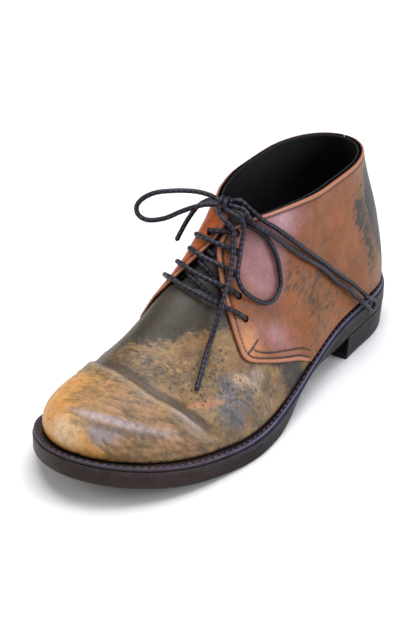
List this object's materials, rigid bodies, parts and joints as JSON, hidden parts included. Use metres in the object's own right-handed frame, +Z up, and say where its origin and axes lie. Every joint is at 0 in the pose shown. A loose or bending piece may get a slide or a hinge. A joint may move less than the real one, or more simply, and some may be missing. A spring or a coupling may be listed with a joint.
{
  "type": "derby shoe",
  "caption": "Left leather derby shoe of ankle height: open-laced quarters over a creased vamp, let-in backstay, stitched welt, layered sole, block heel and a tied round lace.",
  "frame": {"origin": "on the ground under the centre of the box round the shoe, without its free laces", "axes": "+Z up, toe towards -Y, heel towards +Y, outer (lateral) side of the left foot towards +X"},
  "size_m": [0.1098, 0.2884, 0.1278],
  "materials": {
    "outsole": "dark purple-brown waxed edge, fine layers",
    "heel": "near black, waxed",
    "welt": "black-navy, semi matt, pale stitches",
    "insole": "matt, near black",
    "upper": "patinated ochre and olive, waxed, creased",
    "quarter": "patinated red-orange tan, waxed",
    "backstay": "navy-charcoal, waxed",
    "tongue": "dark olive",
    "lace": "round braided and waxed, dark indigo"
  },
  "bodies": {
    "root": {"outsole": "outsole", "heel": "heel", "welt": "welt", "insole": "insole", "upper": "upper", "quarter_lateral": "quarter", "quarter_medial": "quarter", "backstay": "backstay", "tongue": "tongue", "lace_bars": "lace", "lace_knot": "lace", "lace_loop_medial": "lace", "lace_end_medial": "lace", "lace_loop_teardrop": "lace", "lace_loop_long": "lace", "lace_end_front": "lace"}
  },
  "joints": []
}
